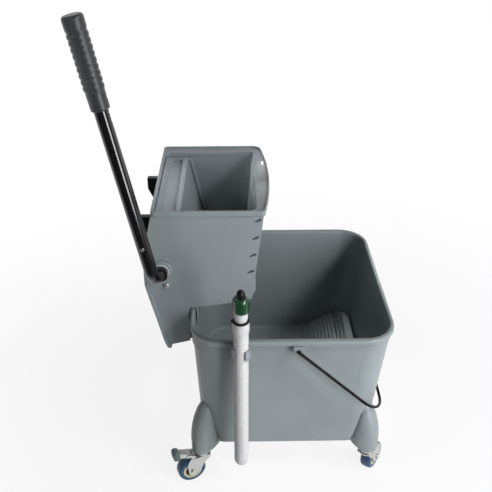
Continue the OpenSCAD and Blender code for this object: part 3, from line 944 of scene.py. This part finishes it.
knob_steps = [(5.4, 421.9), (5.6, 423.5), (6.4, 425), (6.7, 427.5), (6.4, 430), (5.2, 432.6), (3.4, 434.2)]
knob = turned("cap_knob_round", [*knob_steps, (1.2, 434.9)], 40, TIP)
fit(finish(knob, 0), "cap", black_plastic, "cap_knob")

# ---- Wringer ----
# A side press that hangs on the bucket's end. Its housing, top rim and floor are mouldings joined by
# clips, and the shaft runs across it in white bushes held in round bosses.
SHAFT_X, SHAFT_Z = -217, 404
FRONT, REAR, TOP = -97, 151, 513
CLIP_ROWS, CLIP_X, CLIP_Z, CLIP_LEAN, CLIP_DROP = 4, -57.5, 497, 4, 32


def face_front(x, z):
    """The place on the front panel of a piece drawn up z, turned so that its top faces the front."""
    return at(x, FRONT, z) @ tilt(90, "X")


housing = softened("wringer_shell", "wringer_housing", 0.9)
windows = []
for row in range(CLIP_ROWS):
    for wall, inner in ((FRONT, 1), (REAR, -1)):
        window_place = at(CLIP_X - row * CLIP_LEAN, wall, CLIP_Z - row * CLIP_DROP)
        window_place = window_place @ tilt(-22, "Y")
        window = [(-5.5, -2.1), (5.5, -2.1), (6.2, 0), (5.5, 2.1), (-5.5, 2.1), (-6.2, 0)]
        window = outline_plate("window", window, -7, 7)
        windows.append(set_on(window, window_place))
        tongue = outline_plate("clip_tongue", [(-8, -4.5), (7, -4.5), (7, 4.5), (-8, 4.5)], -0.7, 0.7)
        finish(tongue, 0.4, 25, 2)
        set_on(tongue, at(0, inner * 4.6, 0) @ window_place)
        tongue.name = tongue.data.name = f"clip_tongue_{row}_{'front' if inner > 0 else 'rear'}"
        fit(tongue, "bucket", wringer_plastic)
windows = join_pieces(*windows)
carve(housing, windows)
bpy.data.objects.remove(windows)
finish(housing, 0)
fit(housing, "bucket", wringer_plastic, "wringer_housing")


def rim_outline(inset):
    """The rim's outline seen from above, as (x, y) points: three square sides and a bowed one."""
    left, front, rear = -228 + inset, FRONT - 2 + inset, REAR + 25.5 - inset
    bow_x, bow_y, bow_radius = -810, 37, 776 - inset

    def bow(y):
        return bow_x + math.sqrt(bow_radius**2 - (y - bow_y) ** 2)

    def corner(x, y, radius, first):
        turns = [math.radians(first + step * 15) for step in range(7)]
        return [(x + radius * math.cos(turn), y + radius * math.sin(turn)) for turn in turns]

    points = corner(left + 6, front + 6, 6, 180)
    points += corner(bow(front + 6) - 6, front + 6, 6, 270)
    points += [(bow(y), y) for y in range(-75, 151, 15)]
    points += corner(bow(rear - 17) - 17, rear - 17, 17, 0)
    points += corner(left + 6, rear - 6, 6, 90)
    return points


def flat_plate(name, points, low, high):
    """A plate cut to an outline of (x, y) points in mm and drawn up from low to high."""
    plate = outline_plate(name, [(x, -y) for x, y in points], low, high)
    return set_on(plate, tilt(90, "X"))


def cut_away(piece, cutter):
    """Carves the cutter out of the piece and throws the cutter away."""
    carve(piece, finish(cutter, 0))
    bpy.data.objects.remove(cutter)


def opening(grow):
    """The room that the mop and the press need through the rim, grown outwards."""
    size = (163 + 2 * grow, REAR - FRONT - 7 + 2 * grow, 8 + grow, (-141.5, (FRONT + REAR) / 2))
    levels = [(TOP - 12, *size), (TOP + 3, *size)]
    return finish(draw_levels("opening", levels), 0)


top_rim = flat_plate("wringer_top_rim", rim_outline(0.6), TOP - 3.8, TOP - 1)
cut_away(top_rim, opening(0.6))
cut_away(top_rim, flat_plate("slot", [(-46, 90), (-42, 90), (-40.5, 114), (-46, 114)], TOP - 9, TOP + 3))
outer_lip = flat_plate("outer_lip", rim_outline(0), TOP - 8, TOP + 1.4)
cut_away(outer_lip, flat_plate("inside", rim_outline(3.2), TOP - 10, TOP + 3))
inner_lip = opening(2.8)
for low, high in ((TOP + 1, TOP + 6), (TOP - 20, TOP - 8)):
    cut_away(inner_lip, flat_plate("trim", [(-300, -150), (0, -150), (0, 250), (-300, 250)], low, high))
cut_away(inner_lip, opening(0))
for part in (top_rim, outer_lip, inner_lip):
    finish(part, 1.2, 30)
top_rim = join_pieces(top_rim, outer_lip, inner_lip)
fit(top_rim, "bucket", wringer_plastic, "wringer_rim")
fit_softened("wringer_floor", "wringer_grate", 0.5, "bucket", wringer_plastic)
fit_softened("saddle", "wringer_saddle", 0.6, "bucket", wringer_plastic)

# the wall the mop is pressed against leans in towards its foot, with upright bars that let water past
pressed_wall = [(-60.3, 498), (-61.5, 500), (-63, 499), (-69.5, 358), (-60.3, 358)]
BAR_COUNT, BAR_PITCH, BAR_WIDTH = 14, 17, 6.5
mop_wall = finish(outline_plate("mop_wall", pressed_wall, FRONT + 5, REAR - 5), 0.6, 25)
bar_outline = [(-61.5, 497), (-64.2, 496), (-72.3, 360), (-69, 358)]
for number in range(BAR_COUNT):
    start = FRONT + 12 + number * BAR_PITCH
    bar = outline_plate("bar", bar_outline, start, start + BAR_WIDTH)
    mop_wall = join_pieces(mop_wall, finish(bar, 0.9, 25))
fit(mop_wall, "bucket", wringer_plastic)

edge_outline = [(-246, 378), (-240, 349.5), (-230, 307.5), (-219, 257.5), (-214, 245.6), (-208.4, 244.4)]
edge_outline += [(-207.5, 251), (-213.4, 262), (-224, 309), (-234, 351.5), (-240.6, 380)]
for name, low, high in (
    ("outer_edge_flange", FRONT - 2.2, FRONT + 0.5),
    ("outer_edge_flange_rear", REAR - 0.5, REAR + 2.2),
):
    fit(finish(outline_plate(name, edge_outline, low, high), 0.9, 25), "bucket", wringer_plastic)

boss = turned("shaft_boss", [(18.5, -0.5), (18.5, 1.6), (17.6, 2.8), (15.2, 2.9), (14.9, 2.6)], 64)
set_on(boss, face_front(SHAFT_X, SHAFT_Z))
fit(finish(boss, 0, smooth=50), "bucket", wringer_plastic)


def curved_rib(name, radius, width, from_angle, to_angle, low, high):
    """A raised rib on the front panel that curves about the shaft, turned from a small block by a spin."""
    clear_selection()
    bpy.ops.mesh.primitive_plane_add(size=1, location=(0, 0, 0), rotation=(0, math.radians(90), 0))
    rib = added(name)
    bpy.ops.object.transform_apply()
    edit()
    bpy.ops.transform.resize(value=(1, (high - low) * MM, width * MM))
    bpy.ops.transform.translate(value=(0, (high + low) / 2 * MM, radius * MM))
    bpy.ops.transform.rotate(value=-math.radians(from_angle), orient_axis="Y", center_override=(0, 0, 0))
    bpy.ops.mesh.spin(steps=24, angle=-math.radians(to_angle - from_angle), center=(0, 0, 0), axis=(0, 1, 0))
    bpy.ops.mesh.select_all(action="SELECT")
    bpy.ops.mesh.remove_doubles(threshold=0.00001)
    bpy.ops.mesh.normals_make_consistent(inside=False)
    bpy.ops.transform.translate(value=(SHAFT_X * MM, 0, SHAFT_Z * MM))
    leave_edit()
    return rib


arc_rib = curved_rib("boss_rib", 25, 3.2, -46, 32, FRONT - 2.4, FRONT + 0.5)
fit(finish(arc_rib, 0.8, 30), "bucket", wringer_plastic)

bright_zinc = metal(
    "zinc", (0.56, 0.56, 0.55), (0.34, 0.33, 0.31),
    0.24, 0.7, smudges=0.9, orange_peel=0.35, Metallic=0.9,
)
stop_pad = turned("stop_pad", [(6.2, -0.5), (6.2, 1.2), (5.4, 2.0)], 32)
set_on(stop_pad, face_front(-208.5, 376))
fit(finish(stop_pad, 0, smooth=50), "bucket", wringer_plastic)
stop_screw = turned("stop_screw", [(4.2, 1.5), (4.2, 2.6), (3.8, 3.8), (2.8, 4.6), (1.2, 4.9)], 28)
set_on(stop_screw, face_front(-208.5, 376))
fit(finish(stop_screw, 0, smooth=50), "bucket", bright_zinc)

bush_white = moulding("bush_white", (0.50, 0.52, 0.53), (0.3, 0.3, 0.3), 0.4, 0.15)
fit_softened("bush_front", "shaft_bush_front", 0.5, "bucket", bush_white)
fit_softened("bush_rear", "shaft_bush_rear", 0.5, "bucket", bush_white)

# ---- Press plate ----
# The moulded plate that the cranks push across the mop space. Its top is a shallow tray, and a raised
# rib runs down the sloping face at its rear end.
PRESS_FRONT, PRESS_REAR = FRONT + 6, REAR - 6
PRESS_OUTLINE = [(-220, 505), (-186, 505), (-182.5, 503.5), (-180, 498), (-148, 352), (-172, 352)]
PRESS_OUTLINE += [(-205, 452), (-220, 452)]
press = outline_plate("press_face", PRESS_OUTLINE, PRESS_FRONT, PRESS_REAR)
for start in (4, 82.7, 161.4):
    hollow = [(-216, 493), (-188, 493), (-155, 351), (-176, 351), (-209, 451), (-216, 451)]
    hollow = outline_plate("hollow", hollow, PRESS_FRONT + start, PRESS_FRONT + start + 74.6)
    cut_away(press, hollow)
tray_centre = (-202.5, (PRESS_FRONT + PRESS_REAR) / 2)
tray_levels = [(499, 22, 216, 6, tray_centre), (506, 25, 220, 7.5, tray_centre)]
cut_away(press, draw_levels("tray", tray_levels))
finish(press, 0.8, 25)
cheek = [(-221.5, 498), (-222.5, 503), (-221, 505.6), (-184, 505.6), (-178.5, 504.2), (-174.5, 500.8)]
cheek += [(-172, 496), (-140.5, 354), (-147, 354), (-178, 493), (-182, 499.5), (-188, 501.5)]
left_lip = [(-222.6, 498), (-219, 498), (-219, 505.6), (-222.6, 505.6)]
left_lip = outline_plate("left_lip", left_lip, PRESS_FRONT, PRESS_REAR)
press = join_pieces(press, finish(left_lip, 1, 25))
for low, high in ((PRESS_FRONT, PRESS_FRONT + 4), (PRESS_REAR - 4.5, PRESS_REAR)):
    press = join_pieces(press, finish(outline_plate("cheek", cheek, low, high), 1.3, 20))
fit(press, "press", wringer_plastic, "press_plate")

# ---- Lever ----
# A bent steel tube with a hard black coat, welded to a hub on the drive shaft and pinned above its bend.
# Its grip is a soft rubber sleeve with rounded rings and a row of studs down the front.
black_steel = metal(
    "black_steel", (0.005, 0.005, 0.006), (0.03, 0.028, 0.026),
    0.13, 0.12, smudges=0.1, orange_peel=0.04, Specular_IOR_Level=0.75,
)
fit_softened("lever_arm", "lever_tube", 0.5, "lever", black_steel, angle=40)
fit_softened("shaft", "drive_shaft", 0.6, "lever", black_steel)
fit_softened("front_crank", "crank_front", 1.6, "lever", black_plastic)
fit_softened("rear_crank", "crank_rear", 1.6, "lever", black_plastic)

LEVER_LEAN, LEVER_SKEW, LEVER_BEND = math.radians(11), math.radians(25), 20
GRIP_FROM, GRIP_RADIUS = 274, 14.25
RING_COUNT, RING_STEP, STUD_COUNT, STUD_STEP = 9, 9, 10, 8.6
lever_frame = at(SHAFT_X, FRONT - 7, SHAFT_Z)
lever_frame = lever_frame @ Matrix.Rotation(-LEVER_LEAN, 4, "Y") @ Matrix.Rotation(-LEVER_SKEW, 4, "Z")
lever_frame = lever_frame @ at(0, -LEVER_BEND / math.cos(LEVER_SKEW), LEVER_BEND)

pin_steps = [(2.3, -12.4), (2.9, -11.9), (3, -11.2), (2.5, -10.9)]
pin_steps += [(radius, -height) for radius, height in reversed(pin_steps)]
pin = finish(turned("lever_pin", pin_steps, 24), 0, smooth=45)
across = Matrix.Rotation(LEVER_SKEW, 4, "Z") @ tilt(90, "X")
set_on(pin, lever_frame @ at(0, 0, 46) @ across)
fit(pin, "lever", bright_zinc, "lever_bolt")

# how far the sleeve swells past its radius, and height
sleeve_steps = [(-3.15, 0), (-1.2, 0.2), (-0.3, 1.2), (0, 3), (0, 27)]
for ring in range(RING_COUNT):
    ring_steps = [(0, 0), (0.75, 1.6), (1.3, 3.4), (1.3, 5.4), (0.75, 7.4)]
    sleeve_steps += [(swell, 29 + ring * RING_STEP + height) for swell, height in ring_steps]
sleeve_steps += [(-0.2, 110.5), (0.7, 112.5), (1.2, 115), (1.2, 128), (0.6, 130.8)]
sleeve_steps += [(-1.2, 132.4), (-3.25, 133)]
grip = turned("grip_sleeve", [(GRIP_RADIUS + swell, height) for swell, height in sleeve_steps], 64)
finish(grip, 0, smooth=60)
# a smooth band runs down the side that faces the user, with the studs along it
band_turn = Matrix.Rotation(LEVER_SKEW + math.radians(24), 4, "Z")
band = turned("band", [(15, 26.5), (15.6, 28), (15.6, 112), (15, 113.5)], 64)
band_width = outline_plate("band_width", [(-6.5, 20), (6.5, 20), (6.5, 120), (-6.5, 120)], -20, -6)
carve(band, band_width, "INTERSECT")
bpy.data.objects.remove(band_width)
set_on(finish(band, 0.7, 40), band_turn)
studs = [grip, band]
stud = turned("stud", [(2.5, 14), (2.5, 15.6), (2.3, 16.3), (1.6, 16.9), (0.7, 17.1)], 20)
finish(stud, 0, smooth=60)
on_band = band_turn @ tilt(90, "X")
for row in range(STUD_COUNT):
    one = twin(stud)
    studs.append(set_on(one, at(0, 0, 31.5 + row * STUD_STEP) @ on_band))
bpy.data.objects.remove(stud)
grip = join_pieces(*studs)
set_on(grip, lever_frame @ at(0, 0, GRIP_FROM))
grip_rubber = moulding(
    "grip_rubber", (0.021, 0.022, 0.026), (0.05, 0.05, 0.055),
    0.36, 0.3, cloud=0.5, rub=0.5, dust=0.4, Sheen_Weight=0.05,
)
fit(grip, "lever", grip_rubber, "lever_grip")

# ---- Casters ----
# Swivel casters: a zinc-plated stem and pressed fork, a cream plastic wheel on a bolt, and a blue rubber
# tyre. The two on the lever's end have a foot brake with a moulded pedal cap.
tyre_blue = moulding(
    "tyre_blue", (0.014, 0.062, 0.140), (0.06, 0.10, 0.15),
    0.36, 0.35, cloud=0.8, rub=0.8, dust=0.5,
)
hub_cream = moulding(
    "hub_cream", (0.52, 0.50, 0.28), (0.36, 0.33, 0.22),
    0.42, 0.2, cloud=0.6, rub=0.4, dust=0.4,
)
brake_grey = moulding(
    "brake_grey", (0.075, 0.105, 0.115), (0.22, 0.25, 0.26),
    0.4, 0.3, cloud=0.5, rub=0.7, dust=0.4,
)
WHEEL_RADIUS, TRAIL = 26, 22
# end of the tub, side of the tub, heading in degrees, and whether it has a brake
CASTERS = {
    "fl": (-1, -1, 204, True),
    "fr": (1, -1, 54, False),
    "rl": (-1, 1, 25, True),
    "rr": (1, 1, 20, False),
}


def bored(piece):
    """Joins the two ends of a turned piece, so that it becomes a ring."""
    pick(piece)
    bpy.ops.object.mode_set(mode="EDIT")
    bpy.ops.mesh.select_mode(type="FACE")
    select_faces(piece, lambda face: len(face.verts) > 8)
    bpy.ops.mesh.bridge_edge_loops()
    leave_edit(True)
    return piece


tyre_steps = [(18, -9.4), (19.2, -9.9), (22.4, -10), (23.6, -9.6), (24.8, -8.4), (25.7, -6.4)]
tyre_steps += [(WHEEL_RADIUS, -4), (WHEEL_RADIUS, 0)]
tyre_steps += [(radius, -height) for radius, height in reversed(tyre_steps[:-1])]
hub_steps = [(3.1, -10.6), (6, -10.6), (6, -7.5), (13.4, -7.2), (13.8, -9.7), (17.9, -9.7), (17.9, 0)]
hub_steps += [(radius, -height) for radius, height in reversed(hub_steps[:-1])]
recess_disc_steps = [(6.1, 0), (6.1, 1.6), (9, 1.9), (13.3, 1.4), (13.3, 0)]
for corner, (sx, sy, heading, braked) in CASTERS.items():
    stand = at(LEG_X[sx], LEG_Y * sy, 0)
    stand = stand @ tilt(heading, "Z")
    wheel_place = stand @ at(TRAIL, 0, WHEEL_RADIUS)
    wheel_place = wheel_place @ tilt(-90, "X")
    tyre = bored(turned("tread_" + corner, tyre_steps, 72))
    set_on(finish(tyre, 0, smooth=50), wheel_place)
    fit(tyre, "wheel_" + corner, tyre_blue, "tyre_" + corner)
    hub = bored(turned("wheel_centre_" + corner, hub_steps, 64))
    set_on(finish(hub, 0.4, 30, 2), wheel_place)
    fit(hub, "wheel_" + corner, hub_cream, "wheel_hub_" + corner)
    # a black disc fills the recess on each side of the hub, so that the recess shows dark
    for side in (-1, 1):
        recess_disc = bored(turned("hub_recess_disc_" + corner, recess_disc_steps, 48))
        recess_disc_place = wheel_place @ at(0, 0, side * 7.3)
        recess_disc_place = recess_disc_place @ tilt(180 if side < 0 else 0, "X")
        set_on(finish(recess_disc, 0.2, 30, 2), recess_disc_place)
        fit(recess_disc, "wheel_" + corner, black_plastic)
    fit_softened("stem_" + corner, "caster_stem_" + corner, 0.8, "bucket", bright_zinc)
    fit_softened("fork_" + corner, "caster_fork_" + corner, 0.5, "fork_" + corner, bright_zinc)
    fit_softened("axle_bolt_" + corner, "wheel_axle_" + corner, 0.9, "fork_" + corner, bright_zinc)
    if braked:
        fit_softened("brake_plate_" + corner, "brake_lever_" + corner, 0.7, "brake_" + corner, bright_zinc)
        fit_softened("pedal_cap_" + corner, "brake_cap_" + corner, 2.6, "brake_" + corner, brake_grey)
dress(white_hose, "drain_spigot")
